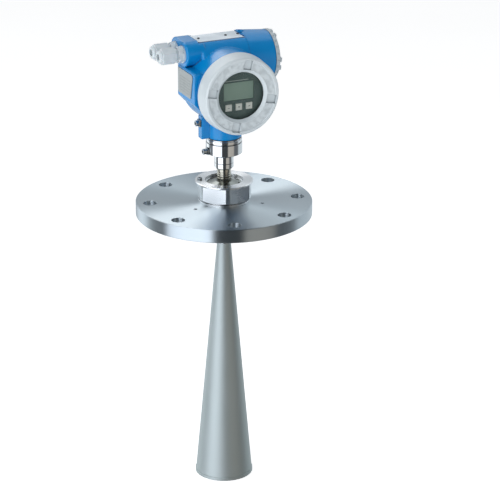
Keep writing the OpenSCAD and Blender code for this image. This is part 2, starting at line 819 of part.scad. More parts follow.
// ---------------------------------------------------------------- display cover
// cast screw cover: tapered skirt, sunk band with wrench slots, bevelled
// window, glass seat inside and a spigot that screws into the barrel
module display_cover() {
    r0 = cover_d/2;
    r1 = cover_face_d/2;
    t = cover_t;
    w = window_d/2;
    gf = glass_front;
    gr = w + 6;
    rim = r1 - 5;
    spigot = display_bore/2 - fit_gap;
    inner = spigot - spigot_wall;
    color(grey_paint) facing_front(y_cover) difference() {
        rotate_extrude($fn = 180) polygon([
            [r0, 0], [r0, 3], [r1 + 0.6, t - 2.2], [r1 - 1.6, t], [rim, t], [rim - 1, t - band_depth],
            [w + 4.5, t - band_depth], [w, t - 6], [w, gf], [gr + fit_gap, gf],
            [gr + fit_gap, gf - glass_t - retainer_h], [inner, gf - glass_t - retainer_h - 0.5],
            [inner, -cover_spigot],
            [spigot - 1, -cover_spigot], [spigot, -cover_spigot + 1], [spigot, -groove_w],
            [spigot - groove_depth, -groove_w], [spigot - groove_depth, 0]]);
        for (i = [0:slot_count - 1])
            rotate(90 + slot_turn + i*360/slot_count)
                translate([w + 4.5, -slot_w/2, t - slot_depth])
                    cube([rim - w - 4.5 + 1.5, slot_w, slot_depth + 1]);
    }
}

module display_glass() {
    color(glass_tint) facing_front(y_cover) translate([0, 0, glass_front - glass_t])
        cylinder(r = window_d/2 + 6, h = glass_t, $fn = 96);
}

module glass_retainer() {
    color(rubber_black) facing_front(y_cover) translate([0, 0, glass_front - glass_t - retainer_h])
        tube(window_d + 12, window_d + 5, retainer_h);
}

// rubber ring at the root of the cover's spigot
module display_cover_seal() {
    color(rubber_black) facing_front(y_cover) translate([0, 0, -groove_w/2])
        seal_ring(display_bore/2 - fit_gap);
}

// ---------------------------------------------------------------- terminal side
module terminal_cover() {
    r = tcover_d/2;
    t = tcover_t;
    spigot = terminal_bore/2 - fit_gap;
    color(grey_paint) facing_right(terminal_mouth + face_gap) difference() {
        union() {
            rotate_extrude($fn = 144) polygon([
                [0, t - 2], [r - 9, t - 2], [r - 8, t], [r - 1.2, t], [r, t - 1.2], [r, 0],
                [spigot - groove_depth, 0], [spigot - groove_depth, -groove_w], [spigot, -groove_w],
                [spigot, 1 - cover_spigot], [spigot - 1, -cover_spigot], [spigot - 4, -cover_spigot],
                [spigot - 4, t - 5], [0, t - 5]]);
            // pairs of lugs for the wrench
            for (i = [0:3], s = [-1, 1])
                rotate(12 + 90*i) translate([r - lug_l - 2, s*lug_w - lug_w/2, t - 2.5])
                    cube([lug_l, lug_w, lug_h + 2.5]);
        }
        ring_of(tcover_scallops, r + 2.2 - scallop_depth) translate([0, 0, 2])
            cylinder(r = 2.2, h = t, $fn = 24);
    }
}

module terminal_cover_seal() {
    color(rubber_black) facing_right(terminal_mouth + face_gap) translate([0, 0, -groove_w/2])
        seal_ring(terminal_bore/2 - fit_gap);
}

// row of clamping terminals on a moulded foot, standing in the chamber
module terminal_block() {
    y0 = terminal_back - block_w/2;
    color(plastic_grey) difference() {
        union() {
            translate([block_x, y0, block_z]) cube([block_l, block_w, block_foot_h]);
            translate([block_x, y0 + 6, block_z]) cube([block_l, block_w - 6, block_h]);
        }
        for (i = [0:3]) {
            x = block_x + block_l*(i + 0.5)/4;
            translate([x, terminal_back + 3, block_z + 12]) cylinder(d = 5.6, h = 9, $fn = 24);
            translate([x - 3, y0, block_z + 12]) cube([6, 11, 5]);
        }
    }
}

module terminal_screws() {
    color(dark_steel) for (i = [0:3])
        translate([block_x + block_l*(i + 0.5)/4, terminal_back + 3, block_z + 12]) difference() {
            cylinder(d = 5.4, h = 6.5, $fn = 24);
            translate([-3, -0.4, 5]) cube([6, 0.8, 2]);
        }
}

module inner_earth_screw() {
    color(dark_steel) translate([-flat_half + 6, inner_earth_y, inner_earth_z])
        rotate([0, 90, 0]) difference() {
        union() {
            translate([0, 0, -5]) cylinder(d = 4, h = 6, $fn = 24);
            cylinder(d = 8, h = 3, $fn = 32);
        }
        translate([-5, -0.5, 2]) cube([10, 1, 2]);
    }
}

// ---------------------------------------------------------------- plates
module top_plate() {
    w = 2*sqrt(pow(terminal_d/2, 2) - pow(terminal_d/2 - flat_depth, 2)) - 6;
    color(plate_grey) translate([0, 0, z_flat]) difference() {
        translate([-flat_half + 2, terminal_back - w/2, 0]) cube([plate_l, w, plate_t]);
        for (x = top_screw_x)
            translate([x, terminal_back, -1]) cylinder(d = 2.7, h = 4, $fn = 24);
    }
}

module top_plate_screws() {
    color(dark_steel) for (x = top_screw_x)
        translate([x, terminal_back, z_flat + plate_t]) difference() {
            union() {
                cylinder(d1 = 4.6, d2 = 3.6, h = 1.2, $fn = 32);
                translate([0, 0, -plate_t - 4]) cylinder(d = 2.4, h = plate_t + 4.1, $fn = 24);
            }
            translate([-3, -0.3, 0.6]) cube([6, 0.6, 1]);
        }
}

module side_plate() {
    z0 = z_display - pad_drop + side_plate_edge;
    l = pad_l - side_plate_back - side_plate_front;
    h = pad_h - side_plate_edge - side_plate_head;
    color(plate_grey) translate([-pad_face - plate_t, barrel_rear - side_plate_back, 0])
        rotate([90, 0, 90])
        linear_extrude(plate_t) polygon([
            [0, z0 + 3], [-3, z0], [-l + 8, z0], [-l, z0 + h - 3], [-l + 3, z0 + h], [0, z0 + h]]);
}

// ---------------------------------------------------------------- glands
module gland_body(side) {
    stem = gland_gap + gland_nut_l - 8;
    color(plastic_grey) facing_left(gland_face, side) difference() {
        union() {
            translate([0, 0, -12]) cylinder(d = gland_hole - 2*fit_gap, h = 12.5, $fn = 48);
            cylinder(d = gland_corner_d + 0.6, h = 3, $fn = 64);
            translate([0, 0, 2.5]) turned_hex(gland_af, gland_corner_d, gland_collar - 2.5, 1);
            cylinder(d = gland_af - 4, h = gland_collar + stem, $fn = 64);
        }
        translate([0, 0, -13]) cylinder(d = cable_d + 1, h = gland_collar + stem + 14, $fn = 48);
        translate([0, 0, gland_collar + stem - 8])
            cylinder(d1 = cable_d + 1, d2 = gland_af - 7, h = 8.01, $fn = 48);
    }
}
module gland_body_front() { gland_body(-1); }
module gland_body_rear() { gland_body(1); }

module gland_nut(side) {
    r = gland_corner_d/2;
    l = gland_nut_l;
    color(plastic_grey) facing_left(gland_face + gland_collar + gland_gap, side) difference() {
        union() {
            turned_hex(gland_af, gland_corner_d, l, 1);
            rotate_extrude($fn = 64) polygon(concat([[0, l - 2]], [[gland_af/2 - 1, l - 2]],
                [for (a = [0:15:60])
                    [cable_d/2 + 1 + (gland_af/2 - 2 - cable_d/2)*cos(a), l + gland_dome*sin(a)/sin(60)]],
                [[0, l + gland_dome]]));
        }
        translate([0, 0, -1]) cylinder(d = gland_af - 4 + 2*fit_gap, h = l - 6, $fn = 64);
        translate([0, 0, l - 7 - eps])
            cylinder(d1 = gland_af - 4 + 2*fit_gap, d2 = cable_d + 2, h = 5, $fn = 64);
        cylinder(d = cable_d + 1, h = l + gland_dome + 1, $fn = 48);
    }
}
module gland_nut_front() { gland_nut(-1); }
module gland_nut_rear() { gland_nut(1); }

// rubber cone that the nut presses round the cable
module gland_seal(side) {
    stem = gland_gap + gland_nut_l - 8;
    color(rubber_black) facing_left(gland_face + gland_collar + stem - 5.4, side)
        rotate_extrude($fn = 48) polygon([
            [cable_d/2 - 1, 0], [cable_d/2 + 1.1, 0], [gland_af/2 - 4.3, 5.6], [gland_af/2 - 4.3, 6.4],
            [cable_d/2 - 1, 6.4]]);
}
module gland_seal_front() { gland_seal(-1); }
module gland_seal_rear() { gland_seal(1); }

// ---------------------------------------------------------------- output
flange();
hex_connection();
clamp_ring();
lock_pin();
horn_root();
horn_antenna();
antenna_window();
neck_tube();
neck_sleeve();
neck_oring();
housing();
neck_adapter();
adapter_seal();
lock_screw();
lock_washer();
earth_screw();
earth_clamp();
rf_module();
electronics_module();
display_holder();
display_case();
display_board();
lcd();
top_plate();
top_plate_screws();
side_plate();
terminal_block();
terminal_screws();
inner_earth_screw();
gland_body_front();
gland_body_rear();
display_cover();
display_glass();
glass_retainer();
display_cover_seal();
terminal_cover();
terminal_cover_seal();
key_left();
key_middle();
key_right();
gland_nut_front();
gland_nut_rear();
gland_seal_front();
gland_seal_rear();
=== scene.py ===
"""Radar level transmitter: finishes, fine pieces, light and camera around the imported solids.

Every length is in metres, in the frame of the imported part: origin at the centre of the flange's
under face, +Z up the neck, the display looking along -Y and the terminal cover along +X.
"""

import math

import bpy
import numpy as np
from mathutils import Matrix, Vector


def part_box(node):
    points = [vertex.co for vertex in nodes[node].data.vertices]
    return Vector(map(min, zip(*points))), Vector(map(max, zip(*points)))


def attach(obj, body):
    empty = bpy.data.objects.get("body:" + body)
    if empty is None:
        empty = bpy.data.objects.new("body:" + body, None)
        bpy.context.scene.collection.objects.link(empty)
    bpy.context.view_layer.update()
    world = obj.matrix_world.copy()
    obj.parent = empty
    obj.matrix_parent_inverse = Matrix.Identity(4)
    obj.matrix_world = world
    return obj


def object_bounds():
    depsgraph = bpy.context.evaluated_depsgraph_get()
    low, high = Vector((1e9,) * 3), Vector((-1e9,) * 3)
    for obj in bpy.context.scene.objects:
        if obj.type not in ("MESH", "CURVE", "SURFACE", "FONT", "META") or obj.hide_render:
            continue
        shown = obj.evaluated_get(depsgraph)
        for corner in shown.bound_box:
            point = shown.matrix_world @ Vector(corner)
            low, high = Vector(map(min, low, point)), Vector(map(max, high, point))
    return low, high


MM = 0.001
X = np.array([1.0, 0.0, 0.0])
Y = np.array([0.0, 1.0, 0.0])
Z = np.array([0.0, 0.0, 1.0])

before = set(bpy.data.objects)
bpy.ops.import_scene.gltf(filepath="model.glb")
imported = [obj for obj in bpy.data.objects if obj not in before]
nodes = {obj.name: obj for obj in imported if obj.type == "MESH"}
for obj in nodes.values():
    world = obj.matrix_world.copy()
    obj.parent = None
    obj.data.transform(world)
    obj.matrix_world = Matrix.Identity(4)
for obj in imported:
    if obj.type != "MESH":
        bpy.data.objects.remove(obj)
cad_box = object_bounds()
scene = bpy.context.scene


def corners(node):
    """Lowest and highest corner of a node's box, as arrays."""
    low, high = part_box(node)
    return np.array(low), np.array(high)


def middle(node):
    """Centre of a node's box."""
    low, high = corners(node)
    return (low + high) / 2


# ---------------------------------------------------------------- colours and shader nodes

# a Mix node has a row of sockets for each kind of value: these are the rows for numbers and colours
NUMBER_A = 2
NUMBER_B = 3
COLOUR_A = 6
COLOUR_B = 7
COLOUR_OUT = 2


def linear(code):
    """Linear RGBA of an sRGB hex code: c/12.92 up to 0.04045, and ((c+0.055)/1.055)^2.4 above."""
    c = np.array([int(code[i : i + 2], 16) / 255 for i in (1, 3, 5)])
    lin = np.where(c <= 0.04045, c / 12.92, ((c + 0.055) / 1.055) ** 2.4)
    return (*lin.tolist(), 1.0)


class Finish:
    """A material with its shader, and the patterns that are drawn on it."""

    def __init__(self, name, **values):
        self.material = bpy.data.materials.new(name)
        self.material.use_nodes = True
        self.tree = self.material.node_tree
        self.shader = self.tree.nodes["Principled BSDF"]
        for key, value in values.items():
            self.shader.inputs[key.replace("_", " ")].default_value = value
        self.place = self.add("TexCoord", out="Object")

    def add(self, kind, inputs=None, out=0, stops=None, **settings):
        """Adds one node and returns one of its outputs.

        The settings are its properties, the inputs its values or links, and the stops a ramp's
        places with their sRGB hex colours.
        """
        node = self.tree.nodes.new("ShaderNode" + kind)
        for key, value in settings.items():
            setattr(node, key, value)
        for key, value in (inputs or {}).items():
            if isinstance(value, bpy.types.NodeSocket):
                self.tree.links.new(value, node.inputs[key])
            else:
                node.inputs[key].default_value = value
        if stops:
            band = node.color_ramp
            for element, (position, code) in zip(band.elements, (stops[0], stops[-1])):
                element.position = position
                element.color = linear(code)
            for position, code in stops[1:-1]:
                band.elements.new(position).color = linear(code)
        return node.outputs[out]

    def feed(self, socket, value):
        """Links a value to one of the shader's sockets."""
        self.tree.links.new(value, self.shader.inputs[socket])

    def grain(self, size_mm, detail=2.0, stretch=(1, 1, 1), centre=(0, 0, 0)):
        """Noise with blobs of size_mm, drawn out along an axis by its stretch."""
        away = self.add("VectorMath", {0: self.place, 1: tuple(centre)}, operation="SUBTRACT")
        per_metre = tuple(1 / (size_mm * MM * s) for s in stretch)
        cells = self.add("VectorMath", {0: away, 1: per_metre}, operation="MULTIPLY")
        return self.add("TexNoise", {"Vector": cells, "Scale": 1.0, "Detail": detail})

    def about_axis(self, axis, centre):
        """Distance from the line that runs along an axis through the centre, and height along it."""
        along = np.eye(3)[axis]
        away = self.add("VectorMath", {0: self.place, 1: tuple(centre)}, operation="SUBTRACT")
        flat = self.add("VectorMath", {0: away, 1: tuple(1 - along)}, operation="MULTIPLY")
        radius = self.add("VectorMath", {0: flat}, out="Value", operation="LENGTH")
        dot = {0: away, 1: tuple(along)}
        return radius, self.add("VectorMath", dot, out="Value", operation="DOT_PRODUCT")

    def lathe_rings(self, feed_mm, axis, centre):
        """Noise over radius and height only, so that it runs in rings round the axis."""
        radius, height = self.about_axis(axis, centre)
        both = self.add("CombineXYZ", {"X": radius, "Y": height})
        return self.add("TexNoise", {"Vector": both, "Scale": 1 / (feed_mm * MM), "Detail": 3.0})

    def cross_rings(self, axis):
        """Turns the smear of the reflections across the rings, by a quarter turn of the tangent."""
        self.shader.inputs["Anisotropic Rotation"].default_value = 0.25
        self.feed("Tangent", self.add("Tangent", direction_type="RADIAL", axis="XYZ"[axis]))

    def colour(self, pattern, *codes, at=(0.3, 0.7)):
        """Base colour from one hex value to the next, at the given places of a pattern."""
        stops = list(zip(at, codes))
        self.feed("Base Color", self.add("ValToRGB", {"Fac": pattern}, stops=stops))

    def gloss(self, pattern, low, high):
        """Roughness from low to high over the middle of a pattern."""
        span = {"From Min": 0.3, "From Max": 0.7, "To Min": low, "To Max": high}
        self.feed("Roughness", self.add("MapRange", {"Value": pattern, **span}))

    def paint(self):
        """The socket that gives the base colour so far."""
        return self.shader.inputs["Base Color"].links[0].from_socket

    def repaint(self, factor, first, second):
        """Base colour that goes from first to second as the factor goes from 0 to 1."""
        inputs = {"Factor": factor, COLOUR_A: first, COLOUR_B: second}
        self.feed("Base Color", self.add("Mix", inputs, out=COLOUR_OUT, data_type="RGBA"))

    def paint_corner_shade(self, reach_mm, code):
        """Painted shade: darkens the colour by ambient occlusion in grooves and corners narrower than
        reach_mm.
        """
        reach = {"Distance": reach_mm * MM}
        open_share = self.add("AmbientOcclusion", reach, out="AO", samples=8)
        unshaded = self.add("MapRange", {"Value": open_share, "From Min": 0.35, "From Max": 0.85})
        self.repaint(unshaded, linear(code), self.paint())

    def relief(self, pattern, depth_mm, strength, edge_mm):
        """Bump of the given depth, over edges that are rounded in the shading by edge_mm."""
        round_edge = self.add("Bevel", {"Radius": edge_mm * MM}, samples=6)
        bump = {"Height": pattern, "Distance": depth_mm * MM, "Strength": strength}
        self.feed("Normal", self.add("Bump", {**bump, "Normal": round_edge}))


# ---------------------------------------------------------------- finishes


def turned_stainless(name, low, high, roughness, feed_mm, smear, edge_mm, axis=2, centre=(0, 0, 0)):
    """Stainless steel turned on a lathe: it mirrors its surroundings, smeared across the fine rings.

    The rings are drawn coarser than the tool's real feed of about 0.1 mm, so that they show at all.
    """
    f = Finish(name, Metallic=1.0, Anisotropic=smear)
    rings = f.lathe_rings(feed_mm, axis, centre)
    cloud = f.grain(38, detail=3.0)
    mixed = f.add("Mix", {"Factor": 0.4, NUMBER_A: rings, NUMBER_B: cloud}, data_type="FLOAT")
    f.colour(mixed, low, high)
    f.gloss(mixed, roughness * 0.8, roughness * 1.25)
    f.cross_rings(axis)
    f.relief(rings, 0.02, 0.3, edge_mm)
    # painted shade in the grooves and corners of the turned steel
    f.paint_corner_shade(3.5, "#3f423f")
    return f.material


def milled_stainless(name, low, high):
    """Stainless bar with milled flats: bright, and smeared upwards across faint level cutter lines."""
    f = Finish(name, Metallic=1.0, Anisotropic=0.95)
    lines = f.grain(0.8, detail=1.0, stretch=(40, 40, 1))
    cloud = f.grain(30, detail=1.0)
    mixed = f.add("Mix", {"Factor": 0.7, NUMBER_A: lines, NUMBER_B: cloud}, data_type="FLOAT")
    f.colour(mixed, low, high)
    f.gloss(mixed, 0.25, 0.28)
    f.cross_rings(2)
    f.relief(lines, 0.01, 0.05, 0.5)
    return f.material


def faced_flange(name, low, high):
    """Stainless flange faced on a lathe: satin across the fine rings, brighter on the turned rim.

    The rings are drawn coarser than the tool's real feed of about 0.1 mm, so that they show at all.
    """
    f = Finish(name, Metallic=1.0, Anisotropic=1.0)
    rings = f.lathe_rings(1.0, 2, (0, 0, 0))
    cloud = f.grain(70)
    mixed = f.add("Mix", {"Factor": 0.7, NUMBER_A: rings, NUMBER_B: cloud}, data_type="FLOAT")
    f.colour(mixed, low, high)
    upward = f.add("SeparateXYZ", {"Vector": f.add("NewGeometry", out="Normal")}, out="Z")
    # 0 on the rim, 1 on the two faces
    level = f.add("Math", {0: upward}, operation="ABSOLUTE")
    f.gloss(level, 0.36, 0.41)
    f.cross_rings(2)
    f.relief(rings, 0.01, 0.12, 0.6)
    return f.material


def bead_blasted_stainless(name, low, high):
    """Stainless steel blasted with glass beads: an even, silky grey with a grain that is just felt."""
    f = Finish(name, Metallic=1.0)
    cloud = f.grain(60, detail=3.0, stretch=(1, 1, 2.4))
    f.colour(cloud, low, high)
    f.gloss(cloud, 0.56, 0.62)
    f.relief(f.grain(0.9), 0.03, 0.5, 0.8)
    return f.material


def cast_lumps(f, peel, shade_code, centre, inner, outer, back):
    """Height of a ring round the Y axis that is left as cast: low, soft lumps about 8 mm wide.

    The ring goes from the inner to the outer radius and no further back than a given depth behind
    the centre. Painted shade darkens the colour a little in the hollows between the lumps.
    """
    radius, behind = f.about_axis(1, centre)
    begin = f.add("MapRange", {"Value": radius, "From Min": inner, "From Max": inner + 1 * MM})
    end = f.add("MapRange", {"Value": radius, "From Min": outer, "From Max": outer - 1 * MM})
    front = f.add("MapRange", {"Value": behind, "From Min": back, "From Max": back - 0.3 * MM})
    ring = f.add("Math", {0: begin, 1: end}, operation="MULTIPLY")
    inside = f.add("Math", {0: ring, 1: front}, operation="MULTIPLY")
    blobs = f.grain(8, detail=0.6, centre=centre)
    lump = f.add("MapRange", {"Value": blobs, "From Min": 0.38, "From Max": 0.6})
    hollow = f.add("Math", {0: 1.0, 1: lump}, operation="SUBTRACT")
    dip = f.add("Math", {0: hollow, 1: inside}, operation="MULTIPLY")
    # painted shade: the hollows between the lumps are darkened
    hollow_shade = f.add("Math", {0: dip, 1: 0.3}, operation="MULTIPLY")
    f.repaint(hollow_shade, f.paint(), linear(shade_code))
    fine = f.add("Math", {0: peel, 1: 0.02}, operation="MULTIPLY")
    return f.add("Math", {0: fine, 1: dip}, operation="SUBTRACT")


def powder_coat(name, low, high, roughness, sheen, peel_mm, edge_mm, shade_code, band=None):
    """Baked powder coat on a die casting: even colour, soft gloss, slight orange peel, full edges.

    Where a band is given, the casting's own lumps show through the coat there.
    """
    f = Finish(name, IOR=1.5, Specular_IOR_Level=sheen)
    cloud = f.grain(45, detail=3.0)
    f.colour(cloud, low, high)
    f.gloss(cloud, roughness * 0.9, roughness * 1.15)
    peel = f.grain(peel_mm, detail=1.5)
    if band is None:
        f.relief(peel, 0.05, 0.2, edge_mm)
    else:
        f.relief(cast_lumps(f, peel, shade_code, *band), 0.7, 0.7, edge_mm)
    # painted shade in the corners of the coat
    f.paint_corner_shade(3.0, shade_code)
    return f.material


def moulded_plastic(name, low, high, roughness, edge_mm=0.5, glow=0.0):
    """Injection-moulded plastic with a fine spark-eroded grain and slightly soft edges."""
    f = Finish(name, IOR=1.5, Subsurface_Weight=glow, Subsurface_Scale=2 * MM)
    cloud = f.grain(12, detail=3.0)
    f.colour(cloud, low, high)
    f.gloss(cloud, roughness * 0.9, roughness * 1.15)
    f.relief(f.grain(0.7), 0.04, 0.35, edge_mm)
    return f.material


def nitrile_rubber(name):
    """Black nitrile rubber: dull, with a faint grey bloom from the mould."""
    f = Finish(name, IOR=1.5)
    bloom = f.grain(5, detail=4.0)
    f.colour(bloom, "#141618", "#282b2d", at=(0.35, 0.75))
    f.gloss(bloom, 0.55, 0.75)
    f.relief(bloom, 0.04, 0.4, 0.4)
    return f.material


def toughened_glass(name):
    """Clear toughened glass: nearly unseen face on, with a reflection that grows towards its edges."""
    f = Finish(name, IOR=1.5)
    smear = f.grain(25, detail=3.0)
    f.colour(smear, "#8ba39e", "#94aca7")
    f.gloss(smear, 0.015, 0.04)
    slope = f.add("Fresnel", {"IOR": 1.5})
    f.feed("Alpha", f.add("MapRange", {"Value": slope, "To Min": 0.01, "To Max": 1.0}))
    return f.material


def liquid_crystal(name, centre):
    """Switched-off liquid crystal under a matt polariser: grey-green, a shade darker outwards."""
    f = Finish(name, IOR=1.5, Specular_IOR_Level=0.35)
    away = f.add("VectorMath", {0: f.place, 1: tuple(centre)}, operation="SUBTRACT")
    far = f.add("VectorMath", {0: away}, out="Value", operation="LENGTH")
    share = f.add("Math", {0: far, 1: 30 * MM}, operation="DIVIDE")
    f.colour(share, "#92aa9c", "#8ca597", "#7f978a", at=(0.0, 0.7, 1.0))
    cells = f.grain(0.8, detail=0.0)
    f.gloss(cells, 0.22, 0.32)
    f.relief(cells, 0.01, 0.2, 0.2)
    return f.material


def brushed_plate(name, low, high, along):
    """Thin metal plate brushed lengthways: long fine streaks and a satin sheen."""
    f = Finish(name, Metallic=0.8, Anisotropic=0.4)
    stretch = [1, 1, 1]
    stretch[along] = 36
    streak = f.grain(0.6, detail=3.0, stretch=stretch)
    f.colour(streak, low, high)
    f.gloss(streak, 0.34, 0.46)
    f.relief(streak, 0.02, 0.3, 0.3)
    return f.material


def circuit_board(name):
    """Glass-fibre board under green solder resist: glossy, with its weave showing faintly."""
    f = Finish(name, IOR=1.5)
    weave = f.grain(0.9, detail=1.0)
    f.colour(weave, "#1f5233", "#2c6a43")
    f.gloss(weave, 0.25, 0.4)
    f.relief(weave, 0.02, 0.3, 0.3)
    return f.material


def printed_ink(name, low, high):
    """Screen-printed ink: a matt, slightly uneven film."""
    f = Finish(name, IOR=1.45)
    film = f.grain(0.5)
    f.colour(film, low, high)
    f.gloss(film, 0.5, 0.65)
    f.relief(film, 0.01, 0.3, 0.1)
    return f.material


# the display cover's sunken ring, from just outside the window to just inside the rim, is as cast
display_axis = middle("display_glass")
glass_low, glass_high = corners("display_glass")
cover_low, cover_high = corners("display_cover")
window_radius = (glass_high[0] - glass_low[0]) / 2
cover_radius = (cover_high[0] - cover_low[0]) / 2
RIM_WIDTH = 9 * MM
RING_DEPTH = 2.2 * MM
cast_band = (
    display_axis,
    window_radius - 1 * MM,
    cover_radius - RIM_WIDTH,
    cover_low[1] + RING_DEPTH - display_axis[1],
)

# colour of the painted shade in the corners and lump hollows of the grey coats
COAT_SHADE = "#7f898e"
finish = {
    "flange": faced_flange("stainless_faced_flange", "#b3bec5", "#bac4ca"),
    "bright": turned_stainless("stainless_turned_bright", "#d2d6d8", "#dadddf", 0.09, 0.6, 0.5, 0.4),
    "milled": milled_stainless("stainless_milled_flats", "#dfe2e4", "#e6e8ea"),
    "tube": turned_stainless("stainless_drawn_tube", "#a5a398", "#b4b2a7", 0.12, 0.6, 0.5, 0.4),
    # painted shade: the clamp ring in the hexagon's recess is a darker steel than the other turned
    # parts, standing in for the recess's shade
    "ring": turned_stainless("stainless_ring_darkened_for_shade", "#7f8481", "#8d928f", 0.25, 0.6, 0.5, 0.4),
    "oxide": turned_stainless("steel_black_oxide", "#33363a", "#43474a", 0.35, 0.5, 0.3, 0.3),
    "horn": bead_blasted_stainless("stainless_bead_blasted", "#b2bcbc", "#bac3c4"),
    "screw": turned_stainless(
        "stainless_screw", "#8d959a", "#aab1b5", 0.2, 0.5, 0.4, 0.3, 0, middle("lock_washer")
    ),
    # its last colour is the painted shade in the corners of the blue coat
    "blue": powder_coat("powder_coat_blue", "#007dc0", "#0084c7", 0.2, 0.4, 1.6, 3.2, "#005a96"),
    # painted shade: this copy of the light grey coat, on the terminal cover, is darker than the display
    # cover's because that cover faces away from the key light
    "grey": powder_coat(
        "powder_coat_light_grey_shaded_copy", "#aeb8be", "#b8c1c6", 0.38, 0.45, 1.3, 1.0, COAT_SHADE
    ),
    "cover": powder_coat(
        "powder_coat_grey_cast", "#bcc6cc", "#c6cfd4", 0.38, 0.45, 1.3, 1.0, COAT_SHADE, cast_band
    ),
    "gland": moulded_plastic("polyamide_light_grey", "#bac4ca", "#c6cfd5", 0.38, glow=0.05),
    "case": moulded_plastic("abs_dark_green_grey", "#3d504f", "#465958", 0.5),
    "black": moulded_plastic("abs_black", "#1b1d1f", "#26292b", 0.5),
    "key": moulded_plastic("silicone_pale_grey", "#f0f1ea", "#f7f8f3", 0.55, edge_mm=0.7),
    "lcd": liquid_crystal("liquid_crystal_off", middle("lcd")),
    "glass": toughened_glass("glass_toughened"),
    "rubber": nitrile_rubber("nitrile_rubber_black"),
    "ptfe": moulded_plastic("ptfe_white", "#e6e6e1", "#efefeb", 0.4, glow=0.1),
    "top_plate": brushed_plate("stainless_plate_lengthways", "#b9c2c9", "#c8cfd4", 0),
    "side_plate": brushed_plate("stainless_plate_sideways", "#9a9f9f", "#adb1b0", 1),
    "module": brushed_plate("tinned_steel_can", "#a4abaf", "#c0c6c9", 2),
    "board": circuit_board("glass_fibre_board"),
    "dark_ink": printed_ink("ink_dark_grey", "#50585a", "#5e6668"),
    "pale_ink": printed_ink("ink_pale_grey", "#a9b2ad", "#b9c0bb"),
}

FINISH_OF = {
    "flange": ["flange"],
    "bright": ["horn_root", "neck_sleeve", "neck_adapter"],
    "milled": ["hex_connection"],
    "tube": ["neck_tube"],
    "ring": ["clamp_ring"],
    "oxide": ["top_plate_screws"],
    "horn": ["horn_antenna"],
    "screw": [
        "lock_pin", "lock_screw", "lock_washer", "earth_screw", "earth_clamp",
        "terminal_screws", "inner_earth_screw",
    ],
    "blue": ["housing"],
    "grey": ["terminal_cover"],
    "cover": ["display_cover"],
    "gland": [
        "gland_body_front", "gland_body_rear", "gland_nut_front", "gland_nut_rear", "terminal_block",
    ],
    "case": ["display_case"],
    "black": ["electronics_module", "display_holder", "glass_retainer"],
    "key": ["key_left", "key_middle", "key_right"],
    "lcd": ["lcd"],
    "glass": ["display_glass"],
    "rubber": [
        "neck_oring", "adapter_seal", "display_cover_seal", "terminal_cover_seal",
        "gland_seal_front", "gland_seal_rear",
    ],
    "ptfe": ["antenna_window"],
    "top_plate": ["top_plate"],
    "side_plate": ["side_plate"],
    "module": ["rf_module"],
    "board": ["display_board"],
}

for key, names in FINISH_OF.items():
    for name in names:
        for slot in nodes[name].material_slots:
            slot.material = finish[key]

# the window is thin and clear, so it throws no shadow on the display
nodes["display_glass"].visible_shadow = False


# ---------------------------------------------------------------- fine pieces

FILM = 0.06 * MM


def box_faces(count):
    """Six outward faces for each of count blocks whose eight corners run x fastest, then y, then z."""
    one = np.array([(0, 2, 3, 1), (4, 5, 7, 6), (0, 1, 5, 4), (2, 6, 7, 3), (0, 4, 6, 2), (1, 3, 7, 5)])
    return (one[None] + 8 * np.arange(count)[:, None, None]).reshape(-1, 4)


def printed_strips(name, rows, origin, right, up, material, body):
    """Flat printed strips on a face: each row is (centre along, centre up, width, height) in mm.

    A corner is origin + right*x + up*y + out*z, with x and y half a width or height either side of
    the centre, z 0 or the thickness of the film, and out the direction that right and up leave free.
    """
    rows = np.array(rows, float)
    out = np.cross(right, up)
    signs = np.array([[x, y, z] for z in (0, 1) for y in (-0.5, 0.5) for x in (-0.5, 0.5)])
    x = (rows[:, None, 0] + signs[:, 0] * rows[:, None, 2]) * MM
    y = (rows[:, None, 1] + signs[:, 1] * rows[:, None, 3]) * MM
    z = np.broadcast_to(signs[:, 2] * FILM, x.shape)
    points = origin + x[..., None] * right + y[..., None] * up + z[..., None] * out
    mesh = bpy.data.meshes.new(name)
    mesh.from_pydata(points.reshape(-1, 3).tolist(), [], box_faces(len(rows)).tolist())
    mesh.materials.append(material)
    obj = bpy.data.objects.new(name, mesh)
    scene.collection.objects.link(obj)
    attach(obj, body)


# thin printed line above the liquid crystal
case_low, case_high = corners("display_case")
lcd_low, lcd_high = corners("lcd")
case_front = np.array([display_axis[0], case_low[1], lcd_high[2]])
line_rows = [(-3.5, 1.6, 40, 0.9)]
printed_strips(
    "display_printed_line", line_rows, case_front, X, Z, finish["pale_ink"], "head"
)

# marks on the keys: a minus, a plus and an enter hook
KEY_MARKS = {
    "key_left": [(0, 0, 3.4, 0.7)],
    "key_middle": [(0, 0, 3.4, 0.7), (0, 1.025, 0.7, 1.35), (0, -1.025, 0.7, 1.35)],
    "key_right": [
        (0.2, -0.5, 3.0, 0.7), (1.35, 0.6, 0.7, 1.5), (-1.0, 0.1, 0.7, 0.5), (-1.0, -1.1, 0.7, 0.5),
    ],
}
for node, rows in KEY_MARKS.items():
    cap = middle(node)
    cap[1] = corners(node)[0][1]
    printed_strips(
        node + "_mark", rows, cap, X, Z, finish["dark_ink"], node + "_body"
    )

# empty ruled fields on the side plate
plate_face = middle("side_plate")
plate_face[0] = corners("side_plate")[0][0]
rule_rows = [(0, y, 40, 0.35) for y in (-14, -9.5, -5, -0.5, 4, 8.5)]
rule_rows += [(x, -2.75, 0.35, 22.15) for x in (-20, -4, 20)]
printed_strips(
    "side_plate_rules", rule_rows, plate_face, -Y, Z, finish["dark_ink"], "head"
)


# ---------------------------------------------------------------- floor, light, camera

